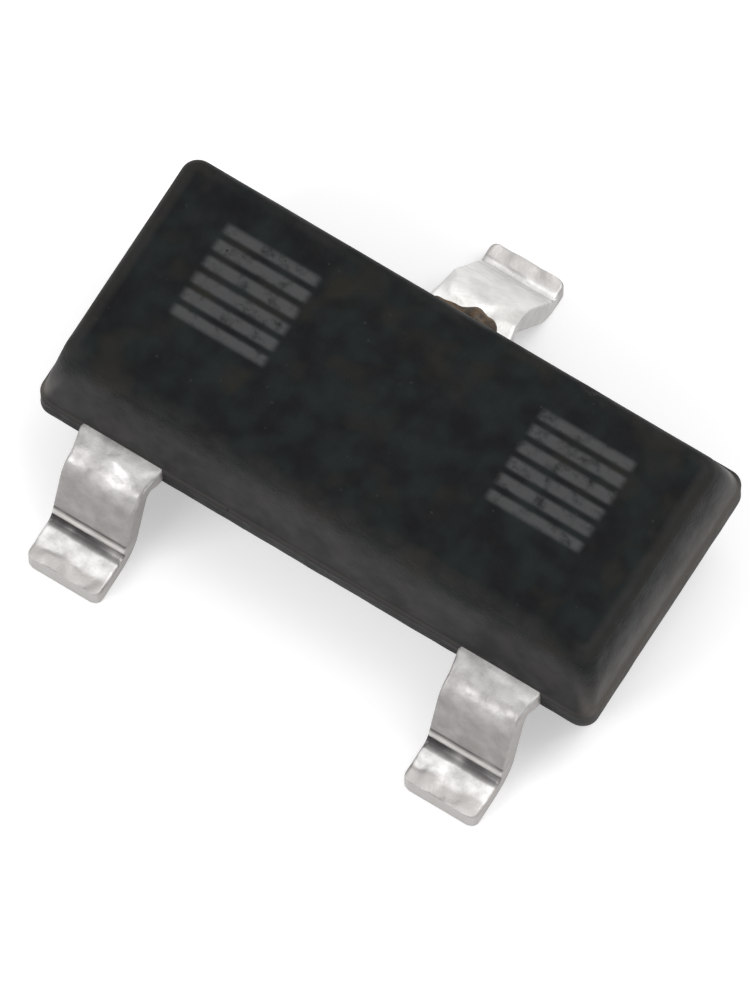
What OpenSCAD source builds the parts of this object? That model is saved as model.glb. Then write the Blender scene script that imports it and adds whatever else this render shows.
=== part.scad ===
// Three-lead surface-mount transistor: a moulded epoxy body on formed gull-wing leads,
// with the lead frame's paddle and posts, the die and its bond wires sealed inside.
// Millimetres. Z = 0 is the board under the feet, X runs along the body, and the side
// with two leads faces -Y.

/* [Body] */
// Length of the body along X, at the parting line
body_length = 2.80; // [2.70:0.02:3.10]
// Width of the body along Y, at the parting line
body_width = 1.30; // [1.24:0.02:1.38]
// Height of the top face above the board
overall_height = 1.00; // [0.97:0.01:1.15]
// Gap between the underside and the board
standoff = 0.06; // [0.02:0.01:0.12]
// Draft of the two long sides, in degrees
side_draft = 15; // [6:1:18]
// Draft of the two ends, in degrees
end_draft = 8; // [4:1:14]
// Step from the parting line in to the foot of each drafted half
parting_step = 0.012; // [0.004:0.002:0.03]
// Radius of the upright corners
corner_radius = 0.08; // [0.04:0.01:0.12]
// Radius of the edges round the top face and the underside
edge_radius = 0.05; // [0.02:0.01:0.08]

/* [Leads] */
// Distance between the centres of the two leads on one side
lead_pitch = 1.90; // [1.80:0.02:2.04]
// Distance across the toes, from one side to the other
lead_span = 2.28; // [2.20:0.02:2.60]
// Width of a lead
lead_width = 0.37; // [0.32:0.01:0.46]
// Thickness of the lead frame's sheet
lead_thickness = 0.12; // [0.09:0.01:0.15]
// Height of the lead's middle plane where it leaves the body
lead_height = 0.53; // [0.47:0.01:0.56]
// Flat stretch of a lead between the body and its first bend
shoulder_length = 0.04; // [0.02:0.01:0.08]
// Radius on the inside of both bends
bend_radius = 0.05; // [0.03:0.01:0.07]
// Slope of the legs of the pair, in degrees from level
leg_angle = 76; // [66:1:84]
// Slope of the single lead's leg, which leans out further, in degrees from level
single_leg_angle = 62; // [60:1:84]
// Stub of the cut dam bar left on each edge of the shoulder
dam_stub = 0.02; // [0.01:0.005:0.04]

/* [Lead frame inside the body] */
// Plain stretch of a lead between the body's wall and its post or paddle
neck_length = 0.15; // [0.12:0.01:0.2]
// Size of a bonding post along X
post_length = 0.62; // [0.54:0.02:0.7]
// Size of a bonding post along Y
post_depth = 0.28; // [0.22:0.01:0.3]
// Distance that a post reaches past its lead's outer edge
post_overhang = 0.05; // [0.02:0.01:0.1]
// Diameter of the hole in each post that the moulding fills and locks in
lock_hole = 0.12; // [0.08:0.01:0.16]
// Size of the die paddle along X
paddle_length = 0.96; // [0.8:0.02:1.1]
// Size of the die paddle along Y
paddle_depth = 0.58; // [0.5:0.02:0.6]
// Cut across each corner of the paddle
paddle_chamfer = 0.08; // [0.04:0.01:0.12]

/* [Die and wires] */
// Side of the square die
die_size = 0.36; // [0.3:0.02:0.44]
// Thickness of the die
die_thickness = 0.14; // [0.1:0.01:0.16]
// Thickness of the layer that bonds the die to the paddle
attach_thickness = 0.015; // [0.01:0.005:0.03]
// Distance that the bonding layer shows past the die's sides
attach_margin = 0.02; // [0.01:0.005:0.04]
// Side of each square bond pad on the die
pad_size = 0.10; // [0.09:0.01:0.12]
// Height of a bond pad above the die
pad_thickness = 0.004; // [0.002:0.001:0.008]
// Distance between the centres of the two bond pads
pad_pitch = 0.18; // [0.14:0.01:0.22]
// Diameter of a bond wire
wire_diameter = 0.025; // [0.02:0.005:0.035]
// Diameter of the flattened ball at the start of a wire
ball_diameter = 0.07; // [0.06:0.005:0.085]
// Height of the flattened ball
ball_height = 0.02; // [0.015:0.005:0.03]
// Straight rise of a wire above its ball
wire_rise = 0.035; // [0.02:0.005:0.05]
// Radius of the bend at the top of a wire
loop_radius = 0.04; // [0.03:0.005:0.05]
// Diameter of the flattened stitch at the end of a wire
stitch_diameter = 0.085; // [0.08:0.005:0.1]
// Thickness of the flattened stitch
stitch_height = 0.01; // [0.006:0.002:0.016]

/* [Hidden] */
$fn = 48;

epoxy = [0.15, 0.155, 0.16];
tin = [0.78, 0.78, 0.77];
silicon = [0.36, 0.38, 0.44];
solder = [0.62, 0.63, 0.66];
gold = [0.88, 0.72, 0.34];

// Overlap of a round with the faces that it joins
blend = 0.000004;

// Step that a wire's bend is kept to, in degrees
bend_step = 0.01;

// Levels of the lead frame
lead_bottom = lead_height - lead_thickness / 2;
lead_top = lead_height + lead_thickness / 2;
wall_y = body_width / 2;
upper_height = overall_height - lead_top;
lower_height = lead_bottom - standoff;

// Radii of a lead's bends, and the distance of its toe from the wall
bend_outside = bend_radius + lead_thickness;
bend_middle = bend_radius + lead_thickness / 2;
toe = lead_span / 2 - wall_y;

// Places on the lead frame and the die
paddle_y = wall_y - neck_length - paddle_depth / 2;
post_y = neck_length + post_depth / 2 - wall_y;
post_reach = lead_pitch / 2 + lead_width / 2 + post_overhang - post_length / 2;
attach_top = lead_top + attach_thickness;
die_top = attach_top + die_thickness;
pad_top = die_top + pad_thickness;
pad_y = paddle_y - die_size / 2 + pad_size;

// Rectangle with round corners, centred
module rounded_plate(length, width, radius) {
    square([length - 2 * radius, width], center = true);
    square([length, width - 2 * radius], center = true);
    for (x = [-1, 1], y = [-1, 1])
        translate([x * (length / 2 - radius), y * (width / 2 - radius)])
            circle(radius);
}

// What lies outside a round, between the directions from its centre to its two ends
module outside_round(radius, reach, first, second) {
    difference() {
        polygon([[0, 0], reach * first, reach * (first + second) / (1 + first * second), reach * second]);
        circle(radius + blend);
    }
}

// Section of a drafted half: flat below, leaning in as it rises, with round upper corners
module half_section(half_base, draft, height) {
    lean = height * tan(draft);
    round_centre = [-lean - edge_radius / tan(45 + draft / 2), height - edge_radius];
    for (side = [0, 1])
        mirror([side, 0])
            translate([half_base, 0])
                difference() {
                    polygon([[0, 0], [-lean, height], [-half_base, height], [-half_base, 0]]);
                    translate(round_centre)
                        outside_round(edge_radius, 2 * edge_radius, [0, 1], [cos(draft), sin(draft)]);
                }
}

// What rounding takes off the leaning edge between the +X end and the +Y side of a drafted half
module leaning_corner_cut(height) {
    end_normal = [cos(end_draft), 0, sin(end_draft)];
    side_normal = [0, cos(side_draft), sin(side_draft)];
    edge = [-tan(end_draft), -tan(side_draft), 1];
    along = edge / norm(edge);
    across = cross(along, end_normal);
    first = [1, 0];
    second = [end_normal * side_normal, across * side_normal];
    slack = corner_radius;
    multmatrix([[end_normal.x, across.x, along.x, body_length / 2 - parting_step],
                [end_normal.y, across.y, along.y, body_width / 2 - parting_step],
                [end_normal.z, across.z, along.z, 0],
                [0, 0, 0, 1]])
        translate([0, 0, -slack])
            linear_extrude(height * norm(edge) + 2 * slack)
                translate(-corner_radius * (first + second) / (1 + first * second))
                    outside_round(corner_radius, 2 * corner_radius, first, second);
}

// One half of the moulding, rising from the parting line at Z = 0
module drafted_half(height) {
    difference() {
        intersection() {
            rotate([90, 0, 90])
                linear_extrude(body_length, center = true)
                    half_section(body_width / 2 - parting_step, side_draft, height);
            rotate([90, 0, 0])
                linear_extrude(body_width, center = true)
                    half_section(body_length / 2 - parting_step, end_draft, height);
        }
        for (x = [0, 1], y = [0, 1])
            mirror([x, 0, 0])
                mirror([0, y, 0])
                    leaning_corner_cut(height);
    }
}

// The moulding before the lead frame, die and wires are cut out of it
module solid_moulding() {
    translate([0, 0, lead_bottom])
        linear_extrude(lead_thickness)
            rounded_plate(body_length, body_width, corner_radius);
    translate([0, 0, lead_top])
        drafted_half(upper_height);
    translate([0, 0, lead_bottom])
        mirror([0, 0, 1])
            drafted_half(lower_height);
}

// Puts what it is given at the centre of the upper bend, and upside down at that of the lower bend
module at_both_bends(foot_start) {
    translate([shoulder_length, lead_bottom - bend_radius])
        children();
    translate([foot_start, bend_outside])
        rotate(180)
            children();
}

// Section along a lead: level from inside the wall, down the leg and level again along the foot.
// The middle line turns at two sharp corners, which the bends round off
module lead_section(inside, slope) {
    setback = bend_middle * tan(slope / 2);
    upper_corner = shoulder_length + setback;
    lower_corner = upper_corner + lead_bottom / tan(slope);
    foot_start = lower_corner + setback;
    mitre = lead_thickness / 2 * tan(slope / 2);
    shoulder_normal = [0, 1];
    leg_normal = [sin(slope), cos(slope)];
    underside = [[-inside, lead_bottom], [upper_corner - mitre, lead_bottom],
                 [lower_corner - mitre, 0], [toe, 0]];
    upper_side = [[toe, lead_thickness], [lower_corner + mitre, lead_thickness],
                  [upper_corner + mitre, lead_top], [-inside, lead_top]];
    difference() {
        union() {
            polygon(concat(underside, upper_side));
            at_both_bends(foot_start)
                outside_round(bend_radius, bend_middle, shoulder_normal, leg_normal);
        }
        at_both_bends(foot_start)
            outside_round(bend_outside, 2 * bend_outside, shoulder_normal, leg_normal);
    }
}

// The strip of a lead, which passes the wall at the origin along +Y, with the stubs of its dam bar
module gull_wing(inside, slope) {
    stub_width = lead_width + 2 * dam_stub;
    rotate([90, 0, 90])
        linear_extrude(lead_width, center = true)
            lead_section(inside, slope);
    translate([-stub_width / 2, 0, lead_bottom])
        cube([stub_width, shoulder_length, lead_thickness]);
}

// Lead with a bonding post, at the front of the body: side is -1 for the left lead, 1 for the right
module post_lead(side) {
    difference() {
        union() {
            translate([side * lead_pitch / 2, -wall_y, 0])
                rotate([0, 0, 180])
                    gull_wing(neck_length + post_depth / 2, leg_angle);
            translate([side * post_reach - post_length / 2, post_y - post_depth / 2, lead_bottom])
                cube([post_length, post_depth, lead_thickness]);
        }
        translate([side * (post_reach + post_length / 2 - lock_hole), post_y, lead_bottom - lead_thickness])
            cylinder(h = 3 * lead_thickness, d = lock_hole);
    }
}

// Outline of the die paddle, centred
module paddle_plate() {
    end = paddle_length / 2;
    side = paddle_depth / 2;
    cut = paddle_chamfer;
    polygon([[cut - end, -side], [end - cut, -side], [end, cut - side], [end, side - cut],
             [end - cut, side], [cut - end, side], [-end, side - cut], [-end, cut - side]]);
}

// Wire from a pad on the die to a post: a ball, a rise, a bend, a sloping run and a flattened stitch
module bond_wire(side) {
    start = [side * pad_pitch / 2, pad_y, pad_top];
    finish = [side * post_reach, post_y, lead_top + stitch_height / 2];
    run = norm([finish.x - start.x, finish.y - start.y]);
    heading = atan2(finish.y - start.y, finish.x - start.x);
    bend_z = ball_height + wire_rise;
    ahead = run - loop_radius;
    below = finish.z - start.z - bend_z;
    reach = norm([ahead, below]);
    turn = bend_step * round((acos(-loop_radius / reach) - atan2(below, ahead)) / bend_step);
    slope_length = sqrt(reach * reach - loop_radius * loop_radius);
    translate(start)
        rotate([0, 0, heading]) {
            intersection() {
                translate([0, 0, ball_height / 2])
                    sphere(d = ball_diameter);
                cylinder(h = ball_height, d = 2 * ball_diameter);
            }
            translate([0, 0, ball_height])
                cylinder(h = wire_rise, d = wire_diameter);
            translate([loop_radius, 0, bend_z])
                rotate([90, 0, 0])
                    rotate([0, 0, 180 - turn])
                        rotate_extrude(angle = turn)
                            translate([loop_radius, 0])
                                circle(d = wire_diameter);
            difference() {
                translate([loop_radius, 0, bend_z])
                    rotate([0, turn - 90, 0])
                        translate([0, 0, loop_radius])
                            rotate([0, 90, 0])
                                cylinder(h = slope_length + wire_diameter, d = wire_diameter);
                translate([run - slope_length, -run, finish.z - start.z - run])
                    cube([2 * slope_length, 2 * run, run]);
            }
            translate([run, 0, lead_top - start.z])
                cylinder(h = stitch_height, d = stitch_diameter);
        }
}

// Every piece that the moulding closes round
module sealed_pieces() {
    collector_lead();
    base_lead();
    emitter_lead();
    die_attach();
    silicon_die();
    base_wire();
    emitter_wire();
}

module moulded_body() {
    color(epoxy)
        difference() {
            solid_moulding();
            sealed_pieces();
        }
}

module collector_lead() {
    color(tin) {
        translate([0, wall_y, 0])
            gull_wing(neck_length + paddle_depth / 2, single_leg_angle);
        translate([0, paddle_y, lead_bottom])
            linear_extrude(lead_thickness)
                paddle_plate();
    }
}

module base_lead() {
    color(tin)
        post_lead(-1);
}

module emitter_lead() {
    color(tin)
        post_lead(1);
}

module die_attach() {
    side = die_size + 2 * attach_margin;
    color(solder)
        translate([-side / 2, paddle_y - side / 2, lead_top])
            cube([side, side, attach_thickness]);
}

module silicon_die() {
    color(silicon) {
        translate([-die_size / 2, paddle_y - die_size / 2, attach_top])
            cube([die_size, die_size, die_thickness]);
        for (side = [-1, 1])
            translate([side * pad_pitch / 2 - pad_size / 2, pad_y - pad_size / 2, die_top])
                cube([pad_size, pad_size, pad_thickness]);
    }
}

module base_wire() {
    color(gold)
        bond_wire(-1);
}

module emitter_wire() {
    color(gold)
        bond_wire(1);
}

moulded_body();
collector_lead();
base_lead();
emitter_lead();
silicon_die();
die_attach();
base_wire();
emitter_wire();
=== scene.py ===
import math

import bmesh
import bpy
from mathutils import Matrix, Vector, noise


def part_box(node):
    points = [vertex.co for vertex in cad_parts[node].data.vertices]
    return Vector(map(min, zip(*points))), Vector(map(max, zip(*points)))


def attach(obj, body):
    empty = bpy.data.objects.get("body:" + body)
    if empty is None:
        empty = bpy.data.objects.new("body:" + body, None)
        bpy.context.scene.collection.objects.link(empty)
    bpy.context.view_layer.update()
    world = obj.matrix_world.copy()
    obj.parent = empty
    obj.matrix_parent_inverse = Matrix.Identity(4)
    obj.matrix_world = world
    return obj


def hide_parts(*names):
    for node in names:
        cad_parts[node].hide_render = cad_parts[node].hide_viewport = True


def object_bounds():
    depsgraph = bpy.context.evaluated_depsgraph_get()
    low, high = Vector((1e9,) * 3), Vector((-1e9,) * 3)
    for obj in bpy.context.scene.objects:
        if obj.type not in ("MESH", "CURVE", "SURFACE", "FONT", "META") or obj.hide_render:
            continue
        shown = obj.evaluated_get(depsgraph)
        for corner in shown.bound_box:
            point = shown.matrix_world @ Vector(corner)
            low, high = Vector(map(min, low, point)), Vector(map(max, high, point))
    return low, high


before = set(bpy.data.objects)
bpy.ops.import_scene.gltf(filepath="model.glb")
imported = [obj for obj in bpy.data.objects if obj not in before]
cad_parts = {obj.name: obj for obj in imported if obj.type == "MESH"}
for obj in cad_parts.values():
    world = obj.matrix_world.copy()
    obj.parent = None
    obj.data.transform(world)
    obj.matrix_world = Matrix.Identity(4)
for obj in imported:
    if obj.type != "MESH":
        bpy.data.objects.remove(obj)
cad_low, cad_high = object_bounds()

# Units and places taken from the frame
MM = 0.001
body_low, body_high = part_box("moulded_body")
lead_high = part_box("collector_lead")[1]
WALL_Y = body_high.y
TOE_Y = lead_high.y
LEAD_TOP = lead_high.z

# Body, as moulded
SIDE_DRAFT = math.radians(15)
END_DRAFT = math.radians(8)
PARTING_STEP = 0.012 * MM
CORNER_RADIUS = 0.08 * MM
EDGE_RADIUS = 0.05 * MM

# Leads, as stamped and formed
LEAD_PITCH = 1.90 * MM
LEAD_WIDTH = 0.37 * MM
LEAD_THICKNESS = 0.12 * MM
SHOULDER_LENGTH = 0.04 * MM
BEND_RADIUS = 0.05 * MM
LEG_ANGLE = math.radians(76)
SINGLE_LEG_ANGLE = math.radians(62)
DAM_STUB = 0.02 * MM
SHEARED_EDGE = 0.012 * MM
TOE_ROUND = 0.035 * MM
LEAD_BOTTOM = LEAD_TOP - LEAD_THICKNESS

# Lead frame inside the body
NECK_LENGTH = 0.15 * MM
POST_LENGTH = 0.62 * MM
POST_DEPTH = 0.28 * MM
POST_OVERHANG = 0.05 * MM
LOCK_HOLE = 0.12 * MM
PADDLE_LENGTH = 0.96 * MM
PADDLE_DEPTH = 0.58 * MM
PADDLE_CHAMFER = 0.08 * MM

# View of the photo: angles, distance, the length that the picture's height spans, shifts and sensor
VIEW_AZIMUTH = math.radians(31.93)
VIEW_ELEVATION = math.radians(71.08)
VIEW_DISTANCE = 90 * MM
VIEW_HEIGHT = 4.276 * MM
VIEW_RIGHT = -0.066 * MM
VIEW_UP = -0.236 * MM
SENSOR = 36


class Nodes:
    """Adds nodes to a tree, with their settings and inputs in one call."""

    def __init__(self, tree):
        self.tree = tree

    def add(self, kind, inputs=None, **settings):
        node = self.tree.nodes.new(kind)
        for name, value in settings.items():
            setattr(node, name, value)
        for name, value in (inputs or {}).items():
            self.feed(node.inputs[name], value)
        return node

    def feed(self, socket, value):
        if isinstance(value, bpy.types.NodeSocket):
            self.tree.links.new(value, socket)
        else:
            socket.default_value = value

    def math(self, operation, first, second=0.0, third=0.0):
        node = self.add("ShaderNodeMath", operation=operation)
        for socket, value in zip(node.inputs, (first, second, third)):
            self.feed(socket, value)
        return node.outputs[0]

    def product(self, first, *others):
        """Values multiplied together."""
        for value in others:
            first = self.math("MULTIPLY", first, value)
        return first

    def fade(self, value, start, end):
        """A value that rises smoothly from 0 at start to 1 at end."""
        limits = {"Value": value, "From Min": start, "From Max": end}
        node = self.add("ShaderNodeMapRange", limits, interpolation_type="SMOOTHSTEP")
        return node.outputs["Result"]

    def bell(self, value, centre, width):
        """A value that is 1 at the centre and falls smoothly to 0 at the width to either side."""
        offset = self.math("ABSOLUTE", self.math("SUBTRACT", value, centre))
        return self.fade(offset, width, 0.0)

    def blend(self, factor, first, second):
        """A colour between two colours."""
        node = self.add("ShaderNodeMix", data_type="RGBA")
        self.feed(node.inputs[0], factor)
        self.feed(node.inputs[6], first)
        self.feed(node.inputs[7], second)
        return node.outputs[2]

    def vector(self, operation, first, second):
        """A vector made from two vectors."""
        node = self.add("ShaderNodeVectorMath", {0: first, 1: second}, operation=operation)
        return node.outputs[0]

    def parts(self, vector):
        """The X, Y and Z of a vector."""
        return self.add("ShaderNodeSeparateXYZ", {0: vector}).outputs

    def store(self, geometry, name, value):
        """Keeps a value on a geometry's points under a name."""
        inputs = {"Geometry": geometry, "Name": name, "Value": value}
        node = self.add("GeometryNodeStoreNamedAttribute", inputs, data_type="FLOAT", domain="POINT")
        return node.outputs[0]

    def stored(self, name):
        """A value that a geometry's points keep."""
        return self.add("GeometryNodeInputNamedAttribute", {"Name": name}, data_type="FLOAT").outputs[0]


def new_mesh_object(name, mesh):
    """A piece of the scene that shows a mesh."""
    piece = bpy.data.objects.new(name, mesh)
    bpy.context.collection.objects.link(piece)
    return piece


def keep_mesh(name, shape):
    """Keeps a built shape as a mesh."""
    mesh = bpy.data.meshes.new(name)
    shape.to_mesh(mesh)
    shape.free()
    return mesh


# Shader groups that several finishes share

def make_group(name, inputs, outputs):
    """An empty shader group with its values and results."""
    tree = bpy.data.node_groups.new(name, "ShaderNodeTree")
    for label, value in inputs.items():
        socket = tree.interface.new_socket(label, in_out="INPUT", socket_type="NodeSocketFloat")
        socket.default_value = value
    for label in outputs:
        tree.interface.new_socket(label, in_out="OUTPUT", socket_type="NodeSocketFloat")
    nodes = Nodes(tree)
    return tree, nodes, nodes.add("NodeGroupInput").outputs, nodes.add("NodeGroupOutput")


PER_MM = (1 / MM, 1 / MM, 1 / MM)

# Spans in a grain's cells: of its pits, of its specks, and of the few cells that hold a speck
PIT_SPAN = (0.0, 0.6)
SPECK_SPAN = (0.45, 0.2)
SPECK_CELLS = (0.985, 0.995)


def millimetre_point(nodes):
    """The place on the piece, in millimetres."""
    return nodes.vector("MULTIPLY", nodes.add("ShaderNodeTexCoord").outputs["Object"], PER_MM)


def mottle_group():
    """Soft blotches, from 0 to 1, so many to the millimetre. Detail adds finer ones."""
    values = {"Per mm": 5.0, "Low": 0.35, "High": 0.65, "Detail": 4.0}
    tree, nodes, given, result = make_group("mottle", values, ["Mask"])
    inputs = {"Vector": millimetre_point(nodes), "Scale": given["Per mm"], "Detail": given["Detail"],
              "Roughness": 0.6}
    cloud = nodes.add("ShaderNodeTexNoise", inputs).outputs["Fac"]
    nodes.feed(result.inputs["Mask"], nodes.fade(cloud, given["Low"], given["High"]))
    return tree


def grain_group():
    """Fine grain of a filled resin or a plated surface: its height, and a mask of its few pale specks."""
    values = {"Per mm": 60.0, "Pits": 0.5}
    tree, nodes, given, result = make_group("grain", values, ["Height", "Specks"])
    spacing = {"Vector": millimetre_point(nodes), "Scale": given["Per mm"]}
    fine = nodes.add("ShaderNodeTexNoise", {**spacing, "Detail": 3.0}).outputs["Fac"]
    cells = nodes.add("ShaderNodeTexVoronoi", spacing).outputs
    pit = nodes.product(nodes.fade(cells["Distance"], *PIT_SPAN), given["Pits"])
    nodes.feed(result.inputs["Height"], nodes.math("ADD", fine, pit))
    cell_number = nodes.add("ShaderNodeSeparateColor", {0: cells["Color"]}).outputs[0]
    chosen = nodes.fade(cell_number, *SPECK_CELLS)
    nodes.feed(result.inputs["Specks"], nodes.product(nodes.fade(cells["Distance"], *SPECK_SPAN), chosen))
    return tree


MOTTLE = mottle_group()
GRAIN = grain_group()


# Finishes

def new_finish(name):
    """A material with one surface and nothing fed to it yet."""
    finish = bpy.data.materials.new(name)
    finish.use_nodes = True
    finish.node_tree.nodes.clear()
    nodes = Nodes(finish.node_tree)
    surface = nodes.add("ShaderNodeBsdfPrincipled")
    nodes.add("ShaderNodeOutputMaterial", {"Surface": surface.outputs[0]})
    return finish, nodes, surface


def mottle(nodes, per_mm, low=0.35, high=0.65, detail=4.0):
    """Mask of soft blotches."""
    node = nodes.add("ShaderNodeGroup", node_tree=MOTTLE)
    for name, value in {"Per mm": per_mm, "Low": low, "High": high, "Detail": detail}.items():
        node.inputs[name].default_value = value
    return node.outputs["Mask"]


def grain(nodes, per_mm, pits):
    """Height of a fine grain, and the mask of its specks."""
    node = nodes.add("ShaderNodeGroup", node_tree=GRAIN)
    for name, value in {"Per mm": per_mm, "Pits": pits}.items():
        node.inputs[name].default_value = value
    return node.outputs["Height"], node.outputs["Specks"]


def bump(nodes, surface, height, depth, strength=1.0):
    """Fine relief on a surface."""
    node = nodes.add("ShaderNodeBump", {"Height": height, "Distance": depth, "Strength": strength})
    nodes.feed(surface.inputs["Normal"], node.outputs["Normal"])


def set_roughness(nodes, surface, value):
    """Gives a surface its roughness."""
    nodes.feed(surface.inputs["Roughness"], value)


def blotchy(nodes, per_mm, least, spread):
    """A value that varies in soft blotches from the least upwards."""
    return nodes.math("MULTIPLY_ADD", mottle(nodes, per_mm), spread, least)


def attribute(nodes, name):
    """A mask that the mesh keeps."""
    return nodes.add("ShaderNodeAttribute", attribute_name=name).outputs["Fac"]


# Plain hatched fields on the top face, in millimetres: middles, half sizes and lines
FIELD_X = 0.79
FIELD_Y = 0.10
FIELD_PITCH = 0.086
FIELD_HALF_X = 0.25
FIELD_HALF_Y = 3 * FIELD_PITCH
FIELD_SOFTNESS = 0.04
FIELD_FLOOR = body_high.z / MM - 0.02
FIELD_RISE = 0.01
LINE_START = FIELD_PITCH * 0.06
LINE_FULL = FIELD_PITCH * 0.30


def hatched_fields(nodes):
    """Mask of two plain fields of worn laser lines on the top face."""
    place = nodes.parts(millimetre_point(nodes))
    from_middle_x = nodes.math("SUBTRACT", nodes.math("ABSOLUTE", place["X"]), FIELD_X)
    from_middle_y = nodes.math("SUBTRACT", place["Y"], FIELD_Y)
    inside_x = nodes.fade(nodes.math("ABSOLUTE", from_middle_x), FIELD_HALF_X, FIELD_HALF_X - FIELD_SOFTNESS)
    inside_y = nodes.fade(nodes.math("ABSOLUTE", from_middle_y), FIELD_HALF_Y, FIELD_HALF_Y - FIELD_SOFTNESS)
    on_top = nodes.fade(place["Z"], FIELD_FLOOR, FIELD_FLOOR + FIELD_RISE)
    from_gap = nodes.math("PINGPONG", from_middle_y, FIELD_PITCH / 2)
    lines = nodes.fade(from_gap, LINE_START, LINE_FULL)
    worn = mottle(nodes, per_mm=14.0, low=0.20, high=0.55)
    return nodes.product(inside_x, inside_y, on_top, lines, worn)


# Tones of the epoxy on its faces, walls, ends, parting ledge, edges and hatched lines, and of its filler; the
# walls, ends and parting ledge are painted lighter as sheen
FACE_BLACK = (0.0016, 0.0019, 0.0025, 1)
FACE_TEAL = (0.0062, 0.0091, 0.0090, 1)
FACE_BROWN = (0.0118, 0.0112, 0.0088, 1)
# Walls: painted sheen, lighter than the faces
WALL_SHEEN_BLACK = (0.0060, 0.0072, 0.0064, 1)
WALL_SHEEN_GREY = (0.0200, 0.0176, 0.0190, 1)
# Ends: a pale painted sheen
END_SHEEN_GREY = (0.1400, 0.1260, 0.1120, 1)
# Parting ledge: painted sheen, paler at the ends
LEDGE_SIDE_SHEEN = (0.0360, 0.0345, 0.0330, 1)
LEDGE_END_SHEEN = (0.2000, 0.1800, 0.1620, 1)
RUBBED_EDGE = (0.0190, 0.0180, 0.0170, 1)
LASER_LINE = (0.0580, 0.0590, 0.0600, 1)
FILLER_SPECK = (0.0180, 0.0180, 0.0170, 1)

# What the walls and the hatched lines add to the epoxy's roughness and relief
WALL_ROUGHNESS = -0.26
LINE_ROUGHNESS = 0.1
WALL_RELIEF = -0.87
LINE_RELIEF = -0.5


def epoxy_finish():
    """Matt black filled epoxy: cool and warm blotches, smoother walls, rubbed edges, two hatched fields; the
    walls, ends and parting ledge are painted lighter as sheen.
    """
    finish, nodes, surface = new_finish("black_epoxy")
    height, specks = grain(nodes, per_mm=55.0, pits=0.6)
    wall = attribute(nodes, "wall")
    at_end = attribute(nodes, "end")
    cool = nodes.blend(mottle(nodes, per_mm=6.0, low=0.34, high=0.66, detail=1.6), FACE_BLACK, FACE_TEAL)
    face = nodes.blend(mottle(nodes, per_mm=4.6, low=0.50, high=0.74, detail=1.8), cool, FACE_BROWN)
    # The walls' tones are painted sheen, lighter than the faces
    side = nodes.blend(mottle(nodes, per_mm=6.5, low=0.34, high=0.66, detail=2.0), WALL_SHEEN_BLACK, WALL_SHEEN_GREY)
    # The ends' pale grey is painted sheen
    tone = nodes.blend(at_end, nodes.blend(wall, face, side), END_SHEEN_GREY)
    rubbed = nodes.product(attribute(nodes, "rub"), mottle(nodes, per_mm=7.0, low=0.30, high=0.75))
    tone = nodes.blend(rubbed, tone, RUBBED_EDGE)
    # The parting ledge is painted lighter as sheen, paler at the ends
    tone = nodes.blend(attribute(nodes, "ledge"), tone, nodes.blend(at_end, LEDGE_SIDE_SHEEN, LEDGE_END_SHEEN))
    fields = hatched_fields(nodes)
    tone = nodes.blend(fields, tone, LASER_LINE)
    nodes.feed(surface.inputs["Base Color"], nodes.blend(specks, tone, FILLER_SPECK))

    # The walls are smoother than the faces, and the hatched lines rougher and a little sunk
    rough = blotchy(nodes, per_mm=9.0, least=0.62, spread=0.10)
    rough = nodes.math("MULTIPLY_ADD", wall, WALL_ROUGHNESS, rough)
    set_roughness(nodes, surface, nodes.math("MULTIPLY_ADD", fields, LINE_ROUGHNESS, rough))
    surface.inputs["Specular IOR Level"].default_value = 0.14
    relief = nodes.product(height, nodes.math("MULTIPLY_ADD", wall, WALL_RELIEF, 1.0))
    relief = nodes.math("MULTIPLY_ADD", fields, LINE_RELIEF, relief)
    bump(nodes, surface, relief, depth=0.003 * MM, strength=0.6)
    return finish


# Tones of the seeped resin
DARK_RESIN = (0.0300, 0.0190, 0.0110, 1)
BROWN_RESIN = (0.1100, 0.0680, 0.0340, 1)
RESIN_SPECK = (0.1600, 0.1100, 0.0600, 1)


def flash_finish():
    """Thin brown resin that seeped out over a lead."""
    finish, nodes, surface = new_finish("brown_resin_flash")
    height, specks = grain(nodes, per_mm=70.0, pits=0.4)
    tone = nodes.blend(mottle(nodes, per_mm=18.0), DARK_RESIN, BROWN_RESIN)
    nodes.feed(surface.inputs["Base Color"], nodes.blend(specks, tone, RESIN_SPECK))
    set_roughness(nodes, surface, blotchy(nodes, per_mm=30.0, least=0.40, spread=0.2))
    surface.inputs["Specular IOR Level"].default_value = 0.4
    bump(nodes, surface, height, depth=0.003 * MM, strength=0.6)
    return finish


# Tones of the tin: a bright and a dull one for each stretch, and one each for its lines and cut faces; the
# leg's grey, the toe's grey and the crease's dark are painted shade, the foot's and ridge's brightness and
# the sheen are painted highlights, and the cut faces are duller and painted darker as shade
SATIN = ((0.4500, 0.4400, 0.4350, 1), (0.3100, 0.3000, 0.2950, 1))
# Foot: painted highlight
FOOT_PAINTED_HIGHLIGHT = ((0.8000, 0.7900, 0.7800, 1), (0.5200, 0.5100, 0.5000, 1))
# Leg: painted shade, greyer than the shoulder
LEG_PAINTED_SHADE = ((0.3600, 0.3450, 0.3400, 1), (0.2900, 0.2750, 0.2700, 1))
WHITE_SHEEN = ((0.8300, 0.8200, 0.8000, 1), (0.7000, 0.6900, 0.6700, 1))
# Ridge: painted highlight
RIDGE_PAINTED_HIGHLIGHT = (0.6200, 0.6000, 0.5850, 1)
# Toe: painted shade
TOE_PAINTED_SHADE = (0.4300, 0.4150, 0.4050, 1)
# Cut sides: duller sheared metal, painted darker as shade too
CUT_SIDE_AND_SHADE = (0.3800, 0.3600, 0.3500, 1)
# Crease and fine line: painted shade
CREASE_PAINTED_SHADE = (0.0500, 0.0460, 0.0470, 1)

# What the leg, whose grey is painted shade, adds to the tin's roughness
LEG_ROUGHNESS = 0.12


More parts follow.
